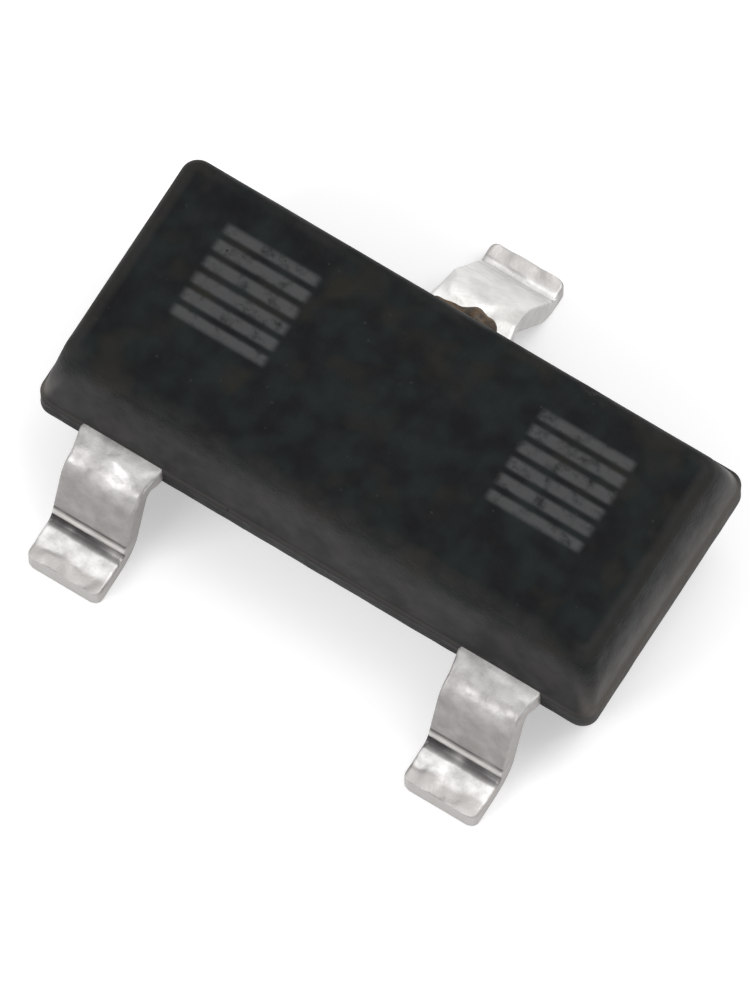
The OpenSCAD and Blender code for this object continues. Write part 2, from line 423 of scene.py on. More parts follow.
def tin_finish():
    """Satin tin with painted highlights on the foot, ridge and sheen, painted shade on the leg, toe and
    crease, and cut sides that are duller and painted darker as shade.
    """
    finish, nodes, surface = new_finish("satin_tin")
    height = grain(nodes, per_mm=75.0, pits=0.3)[0]
    leg = attribute(nodes, "leg")
    cloud = mottle(nodes, per_mm=11.0, low=0.3, high=0.7)
    # The leg's grey is painted shade
    tone = nodes.blend(leg, nodes.blend(cloud, *SATIN), nodes.blend(cloud, *LEG_PAINTED_SHADE))
    # The ridge's pale band is a painted highlight
    tone = nodes.blend(attribute(nodes, "ridge"), tone, RIDGE_PAINTED_HIGHLIGHT)
    # The foot's brightness is a painted highlight
    tone = nodes.blend(attribute(nodes, "foot"), tone, nodes.blend(cloud, *FOOT_PAINTED_HIGHLIGHT))
    tone = nodes.blend(attribute(nodes, "sheen"), tone, nodes.blend(cloud, *WHITE_SHEEN))
    # The toe's grey and the crease's dark are painted shade, and the cut sides are duller and painted darker
    # as shade
    for name, worn in (("toe", TOE_PAINTED_SHADE), ("side", CUT_SIDE_AND_SHADE), ("crease", CREASE_PAINTED_SHADE)):
        tone = nodes.blend(attribute(nodes, name), tone, worn)
    nodes.feed(surface.inputs["Base Color"], tone)
    surface.inputs["Metallic"].default_value = 0.9
    rough = blotchy(nodes, per_mm=20.0, least=0.42, spread=0.10)
    set_roughness(nodes, surface, nodes.math("MULTIPLY_ADD", leg, LEG_ROUGHNESS, rough))
    bump(nodes, surface, height, depth=0.0015 * MM, strength=0.5)
    return finish


# Tones of the sealed pieces
SILICON_DARK = (0.1500, 0.1600, 0.2000, 1)
SILICON_PALE = (0.2300, 0.2400, 0.2700, 1)
BOND_GREY = (0.4200, 0.4200, 0.4300, 1)
BOND_SILVER = (0.8000, 0.8000, 0.8000, 1)
GOLD_BRIGHT = (0.8500, 0.6000, 0.2200, 1)
GOLD_DULL = (0.7500, 0.5000, 0.1700, 1)


def silicon_finish():
    """Polished silicon with faint cloudy colour."""
    finish, nodes, surface = new_finish("polished_silicon")
    tone = nodes.blend(mottle(nodes, per_mm=6.0), SILICON_DARK, SILICON_PALE)
    nodes.feed(surface.inputs["Base Color"], tone)
    surface.inputs["Metallic"].default_value = 0.6
    set_roughness(nodes, surface, blotchy(nodes, per_mm=25.0, least=0.15, spread=0.1))
    return finish


def die_bond_finish():
    """Silver-filled bonding resin, grainy and dull."""
    finish, nodes, surface = new_finish("silver_filled_resin")
    height, specks = grain(nodes, per_mm=90.0, pits=0.5)
    tone = nodes.blend(specks, BOND_GREY, BOND_SILVER)
    nodes.feed(surface.inputs["Base Color"], tone)
    set_roughness(nodes, surface, blotchy(nodes, per_mm=30.0, least=0.5, spread=0.2))
    bump(nodes, surface, height, depth=0.003 * MM)
    return finish


def gold_finish():
    """Drawn gold of the bond wires."""
    finish, nodes, surface = new_finish("drawn_gold")
    tone = nodes.blend(mottle(nodes, per_mm=30.0), GOLD_BRIGHT, GOLD_DULL)
    nodes.feed(surface.inputs["Base Color"], tone)
    surface.inputs["Metallic"].default_value = 1.0
    set_roughness(nodes, surface, blotchy(nodes, per_mm=60.0, least=0.2, spread=0.1))
    return finish


EPOXY = epoxy_finish()
FLASH = flash_finish()
TIN = tin_finish()


# Moulded body: loops of rounded rectangles from the middle of the underside to the middle of the top

LENGTH_STEPS = 170
WIDTH_STEPS = 76
CORNER_STEPS = 8
WALL_STEPS = 18
ROUND_STEPS = 9
LAND_STEPS = 4
CAP_STEPS = 34
CAP_CROWDING = 1.3
MERGE_DISTANCE = 0.0002 * MM

# How far wear and the painted sheen of the walls, ends and parting ledge reach on the skin, and how strong
# they are
RUB_REACH = 0.05 * MM
RUB_PLACE = EDGE_RADIUS * 0.4
FACE_RUB = 0.6
LAND_RUB = 0.6
END_SHEEN_ON_RUB = 0.13
WALL_FADE = 0.22 * MM
END_FADE = 0.50 * MM
LAND_DEPTH = 0.07 * MM
LAND_MARGIN = 0.012 * MM
LAND_END_SHEEN = 0.42
LEDGE_REACH = 0.002 * MM
CORNER_BLEND = 0.10 * MM

# Unevenness of the skin and its one chip
FACE_WAVE = 0.0025 * MM
FACE_WAVES_PER_MM = 4
EDGE_WAVE = 0.011 * MM
COARSE_LUMP = 0.3
COARSE_PER_MM = 5
FINE_LUMP = 0.2
FINE_PER_MM = 13
CHIP_PLACE = Vector((0.675 * MM, 0.53 * MM, body_high.z))
CHIP_SIZE = 0.05 * MM
CHIP_DEPTH = 0.02 * MM


def half_at(base, draft, rise, height):
    """Half the width of a drafted half at a rise above its foot, with its upper edge rounded."""
    tip = base - height * math.tan(draft)
    centre = tip - EDGE_RADIUS * math.tan(math.pi / 4 - draft / 2)
    start = height - EDGE_RADIUS + EDGE_RADIUS * math.sin(draft)
    if rise <= start:
        return base - rise * math.tan(draft)
    above = rise - (height - EDGE_RADIUS)
    return centre + math.sqrt(max(EDGE_RADIUS ** 2 - above ** 2, 0.0))


def half_rises(height):
    """Rises of the loops of a drafted half, from its foot to its flat face."""
    start = height - EDGE_RADIUS + EDGE_RADIUS * math.sin(END_DRAFT)
    rises = [start * step / WALL_STEPS for step in range(WALL_STEPS)]
    for step in range(ROUND_STEPS + 1):
        angle = END_DRAFT + (math.pi / 2 - END_DRAFT) * step / ROUND_STEPS
        rises.append(height - EDGE_RADIUS + EDGE_RADIUS * math.sin(angle))
    return rises


def half_loops(level, height, upwards):
    """Loops of a drafted half: half length, half width, corner radius, height, rub and depth."""
    long_base = body_high.x - PARTING_STEP
    wide_base = body_high.y - PARTING_STEP
    loops = []
    for rise in half_rises(height):
        half_x = half_at(long_base, END_DRAFT, rise, height)
        half_y = half_at(wide_base, SIDE_DRAFT, rise, height)
        inset = wide_base - rise * math.tan(SIDE_DRAFT) - half_y
        rub = max(0.0, 1.0 - abs(height - RUB_PLACE - rise) / RUB_REACH)
        loops.append((half_x, half_y, CORNER_RADIUS - inset, level + upwards * rise, rub, height - rise))
    half_x, half_y, radius, z = loops[-1][:4]
    for step in range(1, CAP_STEPS + 1):
        inset = half_y * (step / CAP_STEPS) ** CAP_CROWDING
        rub = max(0.0, FACE_RUB - inset / RUB_REACH)
        loops.append((half_x - inset, half_y - inset, max(radius - inset, 0.0), z, rub, 0.0))
    return loops


def loop_points(half_x, half_y, radius, z):
    """Points round a rounded rectangle, the same number for every loop."""
    points = []
    corners = [(1, 1, 0.0), (-1, 1, 0.5), (-1, -1, 1.0), (1, -1, 1.5)]
    for index, (side_x, side_y, turn) in enumerate(corners):
        centre = Vector((side_x * (half_x - radius), side_y * (half_y - radius)))
        for step in range(CORNER_STEPS + 1):
            angle = math.pi * (turn + 0.5 * step / CORNER_STEPS)
            points.append((centre.x + radius * math.cos(angle), centre.y + radius * math.sin(angle), z))
        next_x, next_y, _ = corners[(index + 1) % 4]
        finish = Vector((next_x * (half_x - radius), next_y * (half_y - radius)))
        outward = radius * Vector((math.cos(angle), math.sin(angle)))
        steps = LENGTH_STEPS if side_x != next_x else WIDTH_STEPS
        for step in range(1, steps):
            along = centre.lerp(finish, step / steps) + outward
            points.append((along.x, along.y, z))
    return points


def skin_loops():
    """Loops of the whole skin: the lower half, the land at the parting line and the upper half."""
    lower = half_loops(LEAD_BOTTOM, LEAD_BOTTOM - body_low.z, -1)
    upper = half_loops(LEAD_TOP, body_high.z - LEAD_TOP, 1)
    land = []
    for step in range(LAND_STEPS + 1):
        z = LEAD_BOTTOM + LEAD_THICKNESS * step / LAND_STEPS
        land.append((body_high.x, body_high.y, CORNER_RADIUS, z, LAND_RUB, LAND_DEPTH))
    return lower[::-1] + land + upper


def bridge_rings(shape, rings):
    """Faces between each ring of points and the next."""
    for ring, following in zip(rings, rings[1:]):
        for index in range(len(ring)):
            after = (index + 1) % len(ring)
            shape.faces.new((ring[index], ring[after], following[after], following[index]))


def wear_depth(vertex, rub):
    """How far a point of the skin lies below the true face."""
    place = vertex.co / MM
    broad = 0.5 + 0.5 * noise.noise(place * FACE_WAVES_PER_MM)
    lumpy = 0.5 + COARSE_LUMP * noise.noise(place * COARSE_PER_MM)
    lumpy += FINE_LUMP * noise.noise(place * FINE_PER_MM)
    near_chip = max(0.0, 1.0 - (vertex.co - CHIP_PLACE).length / CHIP_SIZE)
    return FACE_WAVE * broad + EDGE_WAVE * rub * lumpy + CHIP_DEPTH * near_chip


def skin_masks(place, rub, depth):
    """Masks that the epoxy reads at a point of the skin: wall, end and ledge, which place its painted sheen.
    """
    from_side = body_high.y - abs(place.y)
    from_end = body_high.x - abs(place.x)
    at_end = min(1.0, max(0.0, 0.5 + (from_side - from_end) / CORNER_BLEND))
    share = min(1.0, depth / (WALL_FADE + (END_FADE - WALL_FADE) * at_end))
    wall = share * share * (3.0 - 2.0 * share)
    on_land = LEAD_BOTTOM - LAND_MARGIN < place.z < LEAD_TOP + LAND_MARGIN
    # The ends' painted sheen, also on the land and along the rubbed edges
    end = at_end * (LAND_END_SHEEN if on_land else max(share ** 3, END_SHEEN_ON_RUB * rub))
    # Where the parting ledge's painted sheen goes
    ledge = 1.0 if abs(place.z - LEAD_TOP) < LEDGE_REACH else 0.0
    return wall, end, ledge


def body_mesh():
    """The moulding's skin, with slightly uneven faces, rubbed edges and one small chip."""
    shape = bmesh.new()
    rub_layer = shape.verts.layers.float.new("rub")
    mask_layers = [shape.verts.layers.float.new(name) for name in ("wall", "end", "ledge")]
    depth_layer = mask_layers[0]
    rings = []
    for half_x, half_y, radius, z, rub, depth in skin_loops():
        ring = []
        for point in loop_points(half_x, half_y, radius, z):
            vertex = shape.verts.new(point)
            vertex[rub_layer] = rub
            vertex[depth_layer] = depth
            ring.append(vertex)
        rings.append(ring)
    bridge_rings(shape, rings)
    bmesh.ops.remove_doubles(shape, verts=shape.verts, dist=MERGE_DISTANCE)
    bmesh.ops.recalc_face_normals(shape, faces=shape.faces)
    shape.normal_update()

    # The masks take the place of the depth, and the points move once all of them are known
    moves = []
    for vertex in shape.verts:
        rub = vertex[rub_layer]
        moves.append(-vertex.normal * wear_depth(vertex, rub))
        masks = skin_masks(vertex.co, rub, vertex[depth_layer])
        for layer, mask in zip(mask_layers, masks):
            vertex[layer] = mask
    for vertex, move in zip(shape.verts, moves):
        vertex.co += move
    mesh = keep_mesh("moulded_epoxy_body", shape)
    mesh.shade_smooth()
    return mesh


body = new_mesh_object("moulded_epoxy_body", body_mesh())
body.data.materials.append(EPOXY)
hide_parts("moulded_body")
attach(body, "root")


# Leads: a strip that follows its path, made by nodes from the path and the plate inside the body

BEND_MIDDLE = BEND_RADIUS + LEAD_THICKNESS / 2
STRIP_STEP = 0.007 * MM
ACROSS_STEP = 0.006 * MM
BEND_STEPS = 40
EDGE_STEPS = 6
HOLE_STEPS = 32
SHARP_EDGE = math.radians(50)

# Stretches of the strip, each from where its value is 0 to where it is 1, measured from the wall
STUB_START = (-0.030 * MM, -0.018 * MM)
STUB_END = (SHOULDER_LENGTH + 0.06 * MM, -0.01 * MM)
ROOT_CLEARANCE = (0.0, 0.06 * MM)
ROOT_SHEEN = (0.085 * MM, 0.02 * MM)

# Stretches measured from the leg's start
SHOULDER_DIMPLES = (0.03 * MM, -0.05 * MM)
# Where the leg's painted shade starts
LEG_TOP = (-0.07 * MM, 0.0)

# Stretches measured from the leg's end, where the ridge is, and lines with their middle and half width
LEG_FOOT = (-0.030 * MM, -0.045 * MM)
CREASE_START = (-0.005 * MM, 0.025 * MM)
FINE_LINE = (-0.060 * MM, 0.020 * MM)
RIDGE_LINE = (-0.024 * MM, 0.028 * MM)

# Stretches measured from the foot's start
CREASE_END = (0.0, -0.075 * MM)
FOOT_DIMPLES = (-0.03 * MM, 0.02 * MM)
FOOT_SHINE = (-0.06 * MM, -0.01 * MM)
SHEEN_END = (0.0, -0.08 * MM)

# Stretch of the toe's painted shade, and a line, measured from the toe along a wandering edge
TOE_SHADE_SPAN = (-0.10 * MM, -0.06 * MM)
FOOT_LINE = (-0.085 * MM, 0.03 * MM)
TOE_WANDER = 0.06 * MM

# Which faces and heights the forming tool reaches, which faces get the cut sides' duller tone and painted
# shade, and the lumps that make its work, the painted shade of its lines and the painted sheen uneven
FACING_OUT = (0.05, 0.3)
FACING_SIDE = (0.6, 0.9)
BOARD_CLEARANCE = (0.03 * MM, 0.07 * MM)
LUMPS_PER_MM = 9.0
LUMP_DETAIL = 0.5
DIMPLE_LUMPS = (0.62, 0.36)
LINE_LUMPS = (0.05, 0.55)
SHEEN_LUMPS = (0.30, 0.60)

# Depths of the dimples and lines, their shares on each stretch, and shares in the masks of painted shade and
# sheen
DIMPLE_DEPTH = 0.009 * MM
SHOULDER_SHARE = 0.9
LEG_SHARE = 0.1
FOOT_SHARE = 0.45
PRESS_DEPTH = 0.014 * MM
CREASE_SHARE = 1.0
FINE_LINE_SHARE = 0.3
FOOT_LINE_SHARE = 0.15
FINE_LINE_SHADE = 0.9
ROOT_SHEEN_SHARE = 0.5
SIDE_SHEEN_LOSS = -0.7


def lead_path(slope):
    """Path of a lead's middle line from the wall, and the distances along it at which its stretches end."""
    setback = BEND_MIDDLE * math.tan(slope / 2)
    upper_corner = SHOULDER_LENGTH + setback
    lower_corner = upper_corner + LEAD_BOTTOM / math.tan(slope)
    toe = TOE_Y - WALL_Y
    level = LEAD_BOTTOM + LEAD_THICKNESS / 2
    path = [(upper_corner, level), (lower_corner, LEAD_THICKNESS / 2), (toe, LEAD_THICKNESS / 2)]
    arc = BEND_MIDDLE * slope
    leg_start = SHOULDER_LENGTH + arc
    leg_end = leg_start + LEAD_BOTTOM / math.sin(slope) - 2 * setback
    foot_start = leg_end + arc
    strip_end = foot_start + toe - lower_corner - setback
    stretches = {"Leg Start": leg_start, "Leg End": leg_end, "Foot Start": foot_start, "Strip End": strip_end}
    return path, stretches


def sweep_strip(nodes, given, loose):
    """The strip's section carried along its path, which keeps the distance along it."""
    inputs = {"Mesh": given["Geometry"], "Selection": loose}
    path = nodes.add("GeometryNodeMeshToCurve", inputs).outputs["Curve"]
    inputs = {"Curve": path, "Radius": given["Bend Radius"], "Count": BEND_STEPS}
    bent = nodes.add("GeometryNodeFilletCurve", inputs, mode="POLY").outputs[0]
    inputs = {"Curve": bent, "Length": STRIP_STEP}
    spaced = nodes.add("GeometryNodeResampleCurve", inputs, mode="LENGTH").outputs[0]
    upright = nodes.add("GeometryNodeSetCurveNormal", {"Curve": spaced}, mode="Z_UP").outputs[0]
    measured = nodes.store(upright, "along", nodes.add("GeometryNodeSplineParameter").outputs["Length"])
    inputs = {"Width": given["Strip Width"], "Height": given["Strip Thickness"]}
    section = nodes.add("GeometryNodeCurvePrimitiveQuadrilateral", inputs, mode="RECTANGLE").outputs[0]
    inputs = {"Curve": section, "Radius": given["Sheared Edge"], "Count": EDGE_STEPS}
    eased = nodes.add("GeometryNodeFilletCurve", inputs, mode="POLY").outputs[0]
    inputs = {"Curve": eased, "Length": ACROSS_STEP}
    stepped = nodes.add("GeometryNodeResampleCurve", inputs, mode="LENGTH").outputs[0]
    inputs = {"Curve": measured, "Profile Curve": stepped, "Fill Caps": True}
    return nodes.add("GeometryNodeCurveToMesh", inputs).outputs[0]


def outline_strip(nodes, given, strip, outside):
    """Widens the strip at the stubs of the dam bar and rounds the corners of its toe."""
    half_width = nodes.math("MULTIPLY", given["Strip Width"], 0.5)
    from_wall = nodes.fade(outside, *STUB_START)
    to_bend = nodes.fade(outside, *STUB_END)
    stub = nodes.math("DIVIDE", given["Dam Stub"], half_width)
    wider = nodes.product(from_wall, to_bend, stub)
    toe_start = nodes.math("SUBTRACT", given["Strip End"], given["Toe Round"])
    past = nodes.math("DIVIDE", nodes.math("SUBTRACT", outside, toe_start), given["Toe Round"])
    past = nodes.math("MINIMUM", nodes.math("MAXIMUM", past, 0.0), 1.0)
    kept = nodes.math("SQRT", nodes.math("SUBTRACT", 1.0, nodes.math("POWER", past, 2.0)))
    corner = nodes.math("DIVIDE", given["Toe Round"], half_width)
    narrower = nodes.product(nodes.math("SUBTRACT", 1.0, kept), corner)
    place_x = nodes.parts(nodes.add("GeometryNodeInputPosition").outputs[0])["X"]
    from_middle = nodes.math("SUBTRACT", place_x, given["Lead Place"])
    spread = nodes.product(from_middle, nodes.math("SUBTRACT", wider, narrower))
    sideways = nodes.add("ShaderNodeCombineXYZ", {"X": spread}).outputs[0]
    return nodes.add("GeometryNodeSetPosition", {"Geometry": strip, "Offset": sideways}).outputs[0]


def press_strip(nodes, given, strip, outside):
    """Presses soft dimples and the forming tool's lines into the outer face, and keeps masks for the tin,
    mostly of painted shade and highlights.
    """
    normal = nodes.add("GeometryNodeInputNormal").outputs[0]
    facing = nodes.parts(normal)
    place = nodes.add("GeometryNodeInputPosition").outputs[0]
    seeded = nodes.add("ShaderNodeCombineXYZ", {"X": given["Seed"]}).outputs[0]
    sample = nodes.vector("ADD", nodes.vector("MULTIPLY", place, PER_MM), seeded)
    inputs = {"Vector": sample, "Scale": LUMPS_PER_MM, "Detail": LUMP_DETAIL}
    lumps = nodes.add("ShaderNodeTexNoise", inputs).outputs["Fac"]
    wander = nodes.math("MULTIPLY_ADD", lumps, TOE_WANDER, -TOE_WANDER / 2)
    outer_face = nodes.fade(facing["Z"], *FACING_OUT)
    above_board = nodes.fade(nodes.parts(place)["Z"], *BOARD_CLEARANCE)
    clear = nodes.product(outer_face, above_board, nodes.fade(outside, *ROOT_CLEARANCE))

    # Dimples are deep on the shoulder, shallow on the foot and hardly there on the leg
    before_leg = nodes.math("SUBTRACT", outside, given["Leg Start"])
    before_ridge = nodes.math("SUBTRACT", outside, given["Leg End"])
    before_foot = nodes.math("SUBTRACT", outside, given["Foot Start"])
    before_toe = nodes.math("SUBTRACT", nodes.math("ADD", outside, wander), given["Strip End"])
    on_shoulder = nodes.fade(before_leg, *SHOULDER_DIMPLES)
    on_foot = nodes.fade(before_foot, *FOOT_DIMPLES)
    share = nodes.math("MULTIPLY_ADD", on_shoulder, SHOULDER_SHARE, LEG_SHARE)
    share = nodes.math("MULTIPLY_ADD", on_foot, FOOT_SHARE, share)
    depth = nodes.product(nodes.fade(lumps, *DIMPLE_LUMPS), share, given["Dimple Depth"])

    # The forming tool left a fine line above a ridge, a crease below it and a faint line on the foot
    crease = nodes.product(nodes.fade(before_ridge, *CREASE_START), nodes.fade(before_foot, *CREASE_END))
    fine_line = nodes.bell(before_ridge, *FINE_LINE)
    foot_line = nodes.bell(before_toe, *FOOT_LINE)
    lines = ((crease, CREASE_SHARE), (fine_line, FINE_LINE_SHARE), (foot_line, FOOT_LINE_SHARE))
    for line, line_share in lines:
        depth = nodes.math("ADD", depth, nodes.product(line, line_share, given["Press Depth"]))
    inward = nodes.vector("MULTIPLY", normal, (-1, -1, -1))
    inputs = {0: inward, "Scale": nodes.product(depth, clear)}
    offset = nodes.add("ShaderNodeVectorMath", inputs, operation="SCALE").outputs[0]
    pressed = nodes.add("GeometryNodeSetPosition", {"Geometry": strip, "Offset": offset}).outputs[0]

    # Masks that the tin reads: painted shade on the leg, lines, crease and toe and in part on the cut sides,
    # painted highlights on the ridge and foot, and painted sheen
    down_leg = nodes.fade(before_leg, *LEG_TOP)
    above_ridge = nodes.fade(before_ridge, *LEG_FOOT)
    uneven = nodes.fade(lumps, *LINE_LUMPS)
    # Painted shade in the crease and the fine line
    painted_line_shade = nodes.product(nodes.math("MULTIPLY_ADD", fine_line, FINE_LINE_SHADE, crease), uneven)
    # The cut sides: duller, and painted darker as shade
    cut_and_shaded_side = nodes.fade(nodes.math("ABSOLUTE", facing["X"]), *FACING_SIDE)
    whole_sheen = nodes.product(nodes.fade(before_foot, *SHEEN_END), given["Sheen"])
    at_root = nodes.fade(outside, *ROOT_SHEEN)
    root_sheen = nodes.product(at_root, nodes.fade(lumps, *SHEEN_LUMPS), ROOT_SHEEN_SHARE)
    masks = {
        "leg": nodes.product(down_leg, above_ridge, given["Leg Painted Light"]),
        "ridge": nodes.product(nodes.bell(before_ridge, *RIDGE_LINE), given["Leg Painted Light"]),
        "foot": nodes.fade(before_foot, *FOOT_SHINE),
        "toe": nodes.fade(before_toe, *TOE_SHADE_SPAN),
        "sheen": nodes.math("MAXIMUM", whole_sheen, root_sheen),
        "side": nodes.product(cut_and_shaded_side, nodes.math("MULTIPLY_ADD", given["Sheen"], SIDE_SHEEN_LOSS, 1.0)),
        "crease": nodes.product(painted_line_shade, outer_face, given["Leg Painted Light"]),
    }
    for name, mask in masks.items():
        pressed = nodes.store(pressed, name, mask)
    return pressed


def lead_tree():
    """Nodes that turn the path of a strip and a plate into a formed lead."""
    tree = bpy.data.node_groups.new("formed_lead", "GeometryNodeTree")
    tree.is_modifier = True
    tree.interface.new_socket("Geometry", in_out="INPUT", socket_type="NodeSocketGeometry")
    sizes = {"Strip Width": LEAD_WIDTH, "Strip Thickness": LEAD_THICKNESS, "Sheared Edge": SHEARED_EDGE,
             "Bend Radius": BEND_MIDDLE, "Dam Stub": DAM_STUB, "Toe Round": TOE_ROUND,
             "Dimple Depth": DIMPLE_DEPTH, "Press Depth": PRESS_DEPTH, "Lead Place": 0.0,
             "Wall Distance": NECK_LENGTH, "Leg Start": 0.0, "Leg End": 0.0, "Foot Start": 0.0,
             "Strip End": 0.0, "Leg Painted Light": 1.0, "Sheen": 0.0, "Seed": 0.0}
    for label, value in sizes.items():
        socket = tree.interface.new_socket(label, in_out="INPUT", socket_type="NodeSocketFloat")
        socket.default_value = value
    tree.interface.new_socket("Finish", in_out="INPUT", socket_type="NodeSocketMaterial")
    tree.interface.new_socket("Geometry", in_out="OUTPUT", socket_type="NodeSocketGeometry")
    nodes = Nodes(tree)
    given = nodes.add("NodeGroupInput").outputs
    result = nodes.add("NodeGroupOutput")

    # The path is the loose edges of the input, and the plate is its faces
    faces_of_edge = nodes.add("GeometryNodeInputMeshEdgeNeighbors").outputs["Face Count"]
    loose = nodes.math("LESS_THAN", faces_of_edge, 0.5)
    strip = sweep_strip(nodes, given, loose)
    outside = nodes.math("SUBTRACT", nodes.stored("along"), given["Wall Distance"])
    strip = outline_strip(nodes, given, strip, outside)
    strip = press_strip(nodes, given, strip, outside)
    inputs = {"Geometry": given["Geometry"], "Selection": loose}
    plate = nodes.add("GeometryNodeDeleteGeometry", inputs, domain="EDGE", mode="ALL").outputs[0]

    # The strip and the plate are one piece, smooth but for its sharp edges
    joined = nodes.add("GeometryNodeMeshBoolean", operation="UNION", solver="EXACT")
    for part in (plate, strip):
        tree.links.new(part, joined.inputs["Mesh 2"])
    smooth = nodes.add("GeometryNodeSetShadeSmooth", {"Geometry": joined.outputs[0]}).outputs[0]
    turn = nodes.add("GeometryNodeInputMeshEdgeAngle").outputs["Unsigned Angle"]
    sharp = nodes.math("GREATER_THAN", turn, SHARP_EDGE)
    inputs = {"Geometry": smooth, "Selection": sharp, "Shade Smooth": False}
    edged = nodes.add("GeometryNodeSetShadeSmooth", inputs, domain="EDGE").outputs[0]
    whole = nodes.add("GeometryNodeRealizeInstances", {"Geometry": edged}).outputs[0]
    inputs = {"Geometry": whole, "Material": given["Finish"]}
    finished = nodes.add("GeometryNodeSetMaterial", inputs).outputs[0]
    nodes.feed(result.inputs["Geometry"], finished)
    return tree


def plate_faces(shape, outline, hole):
    """Adds a plate of the lead frame, as thick as the sheet, with a round hole where it has one."""
    edges = []
    loops = [outline]
    if hole:
        centre, radius = hole
        turns = [2 * math.pi * step / HOLE_STEPS for step in range(HOLE_STEPS)]
        loops.append([centre + radius * Vector((math.cos(turn), math.sin(turn))) for turn in turns])
    for loop in loops:
        corners = [shape.verts.new((x, y, LEAD_BOTTOM)) for x, y in loop]
        for index, corner in enumerate(corners):
            edges.append(shape.edges.new((corner, corners[(index + 1) % len(corners)])))
    filled = bmesh.ops.triangle_fill(shape, use_beauty=True, edges=edges)
    faces = [item for item in filled["geom"] if isinstance(item, bmesh.types.BMFace)]
    raised = bmesh.ops.extrude_face_region(shape, geom=faces)
    for item in raised["geom"]:
        if isinstance(item, bmesh.types.BMVert):
            item.co.z = LEAD_TOP
    bmesh.ops.recalc_face_normals(shape, faces=shape.faces)


def lead_source(name, lead_x, outward, inside, path, outline, hole):
    """Mesh with the plate of a lead and the sharp path of its strip."""
    shape = bmesh.new()
    plate_faces(shape, outline, hole)
    start = (-inside, LEAD_BOTTOM + LEAD_THICKNESS / 2)
    corners = [shape.verts.new((lead_x, outward * (WALL_Y + y), z)) for y, z in [start] + path]
    for first, second in zip(corners, corners[1:]):
        shape.edges.new((first, second))
    return keep_mesh(name, shape)


def make_lead(name, node, tree, mesh, values):
    """Runs the nodes on a lead's source and keeps the result as a plain mesh."""
    piece = new_mesh_object(name, mesh)
    maker = piece.modifiers.new("forming", "NODES")
    maker.node_group = tree
    for item in tree.interface.items_tree:
        if item.in_out == "INPUT" and item.name in values:
            maker[item.identifier] = values[item.name]
    bpy.context.view_layer.update()
    evaluated = piece.evaluated_get(bpy.context.evaluated_depsgraph_get())
    made = bpy.data.meshes.new_from_object(evaluated)
    piece.modifiers.remove(maker)
    piece.data = made
    made.name = name
    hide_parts(node)
    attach(piece, "root")


def rectangle(low_x, high_x, low_y, high_y):
    """Corners of a rectangle, in order."""
    return [(low_x, low_y), (high_x, low_y), (high_x, high_y), (low_x, high_y)]


def paddle_outline():
    """Outline of the die paddle, with its corners cut."""
    half = PADDLE_LENGTH / 2
    high = WALL_Y - NECK_LENGTH
    low = high - PADDLE_DEPTH
    cut = PADDLE_CHAMFER
    right = [(half - cut, low), (half, low + cut), (half, high - cut), (half - cut, high)]
    return right + [(-x, y) for x, y in reversed(right)]


def make_leads():
    """The single lead with the die paddle, and the pair with their bonding posts."""
    tree = lead_tree()
    inside = NECK_LENGTH + PADDLE_DEPTH / 2
    path, stretches = lead_path(SINGLE_LEG_ANGLE)
    source = lead_source("rear_lead", 0.0, 1, inside, path, paddle_outline(), None)
    values = {"Lead Place": 0.0, "Wall Distance": inside, "Leg Painted Light": 0.25, "Sheen": 0.7, "Seed": 3.0,
              "Finish": TIN}
    make_lead("rear_lead", "collector_lead", tree, source, {**stretches, **values})
    inside = NECK_LENGTH + POST_DEPTH / 4
    path, stretches = lead_path(LEG_ANGLE)
    post_low = NECK_LENGTH - WALL_Y
    pair = ((-1, "front_left_lead", "base_lead", 11.0), (1, "front_right_lead", "emitter_lead", 27.0))
    for side, name, node, seed in pair:
        lead_x = side * LEAD_PITCH / 2
        outer = side * (LEAD_PITCH / 2 + LEAD_WIDTH / 2 + POST_OVERHANG)
        inner = outer - side * POST_LENGTH
        outline = rectangle(min(outer, inner), max(outer, inner), post_low, post_low + POST_DEPTH)
        hole = (Vector((outer - side * LOCK_HOLE, post_low + POST_DEPTH / 2)), LOCK_HOLE / 2)
        source = lead_source(name, lead_x, -1, inside, path, outline, hole)
        values = {"Lead Place": lead_x, "Wall Distance": inside, "Seed": seed, "Finish": TIN}
        make_lead(name, node, tree, source, {**stretches, **values})


make_leads()


# Resin that seeped out over the root of the rear lead

FLASH_LEFT = -0.185 * MM
FLASH_RIGHT = 0.135 * MM
FLASH_STEPS = 110
FLASH_RING = 24
FLASH_REACH = 0.036 * MM
FLASH_RISE = 0.018 * MM
FLASH_SUNK_Y = 0.010 * MM
FLASH_SUNK_Z = 0.004 * MM
FLASH_HIDDEN_SHARE = 0.3
FLASH_END_POWER = 6
FLASH_END_LEAST = 0.0004
RIPPLE_LEVEL = 0.7
RIPPLE_SIZE = 0.45
RIPPLES_PER_MM = 16
RIPPLE_ROW = (1.7, 0.4)

# The larger drop: its middle and width, and what it adds to the bead's reach and rise
DROP_X = 0.045 * MM
DROP_WIDTH = 0.075 * MM
DROP_REACH = 0.048 * MM
DROP_RISE = 0.044 * MM


def flash_ring(x, reach, rise):
    """Points round the bead at one place. The half of it that is sunk in the body or the lead is flatter."""
    points = []
    for turn in range(FLASH_RING):
        angle = 2 * math.pi * turn / FLASH_RING
        out = math.cos(angle)
        up = math.sin(angle)
        y = WALL_Y - FLASH_SUNK_Y + reach * out * (1.0 if out > 0 else FLASH_HIDDEN_SHARE)
        z = LEAD_TOP - FLASH_SUNK_Z + rise * up * (1.0 if up > 0 else FLASH_HIDDEN_SHARE)
        points.append((x, y, z))
    return points


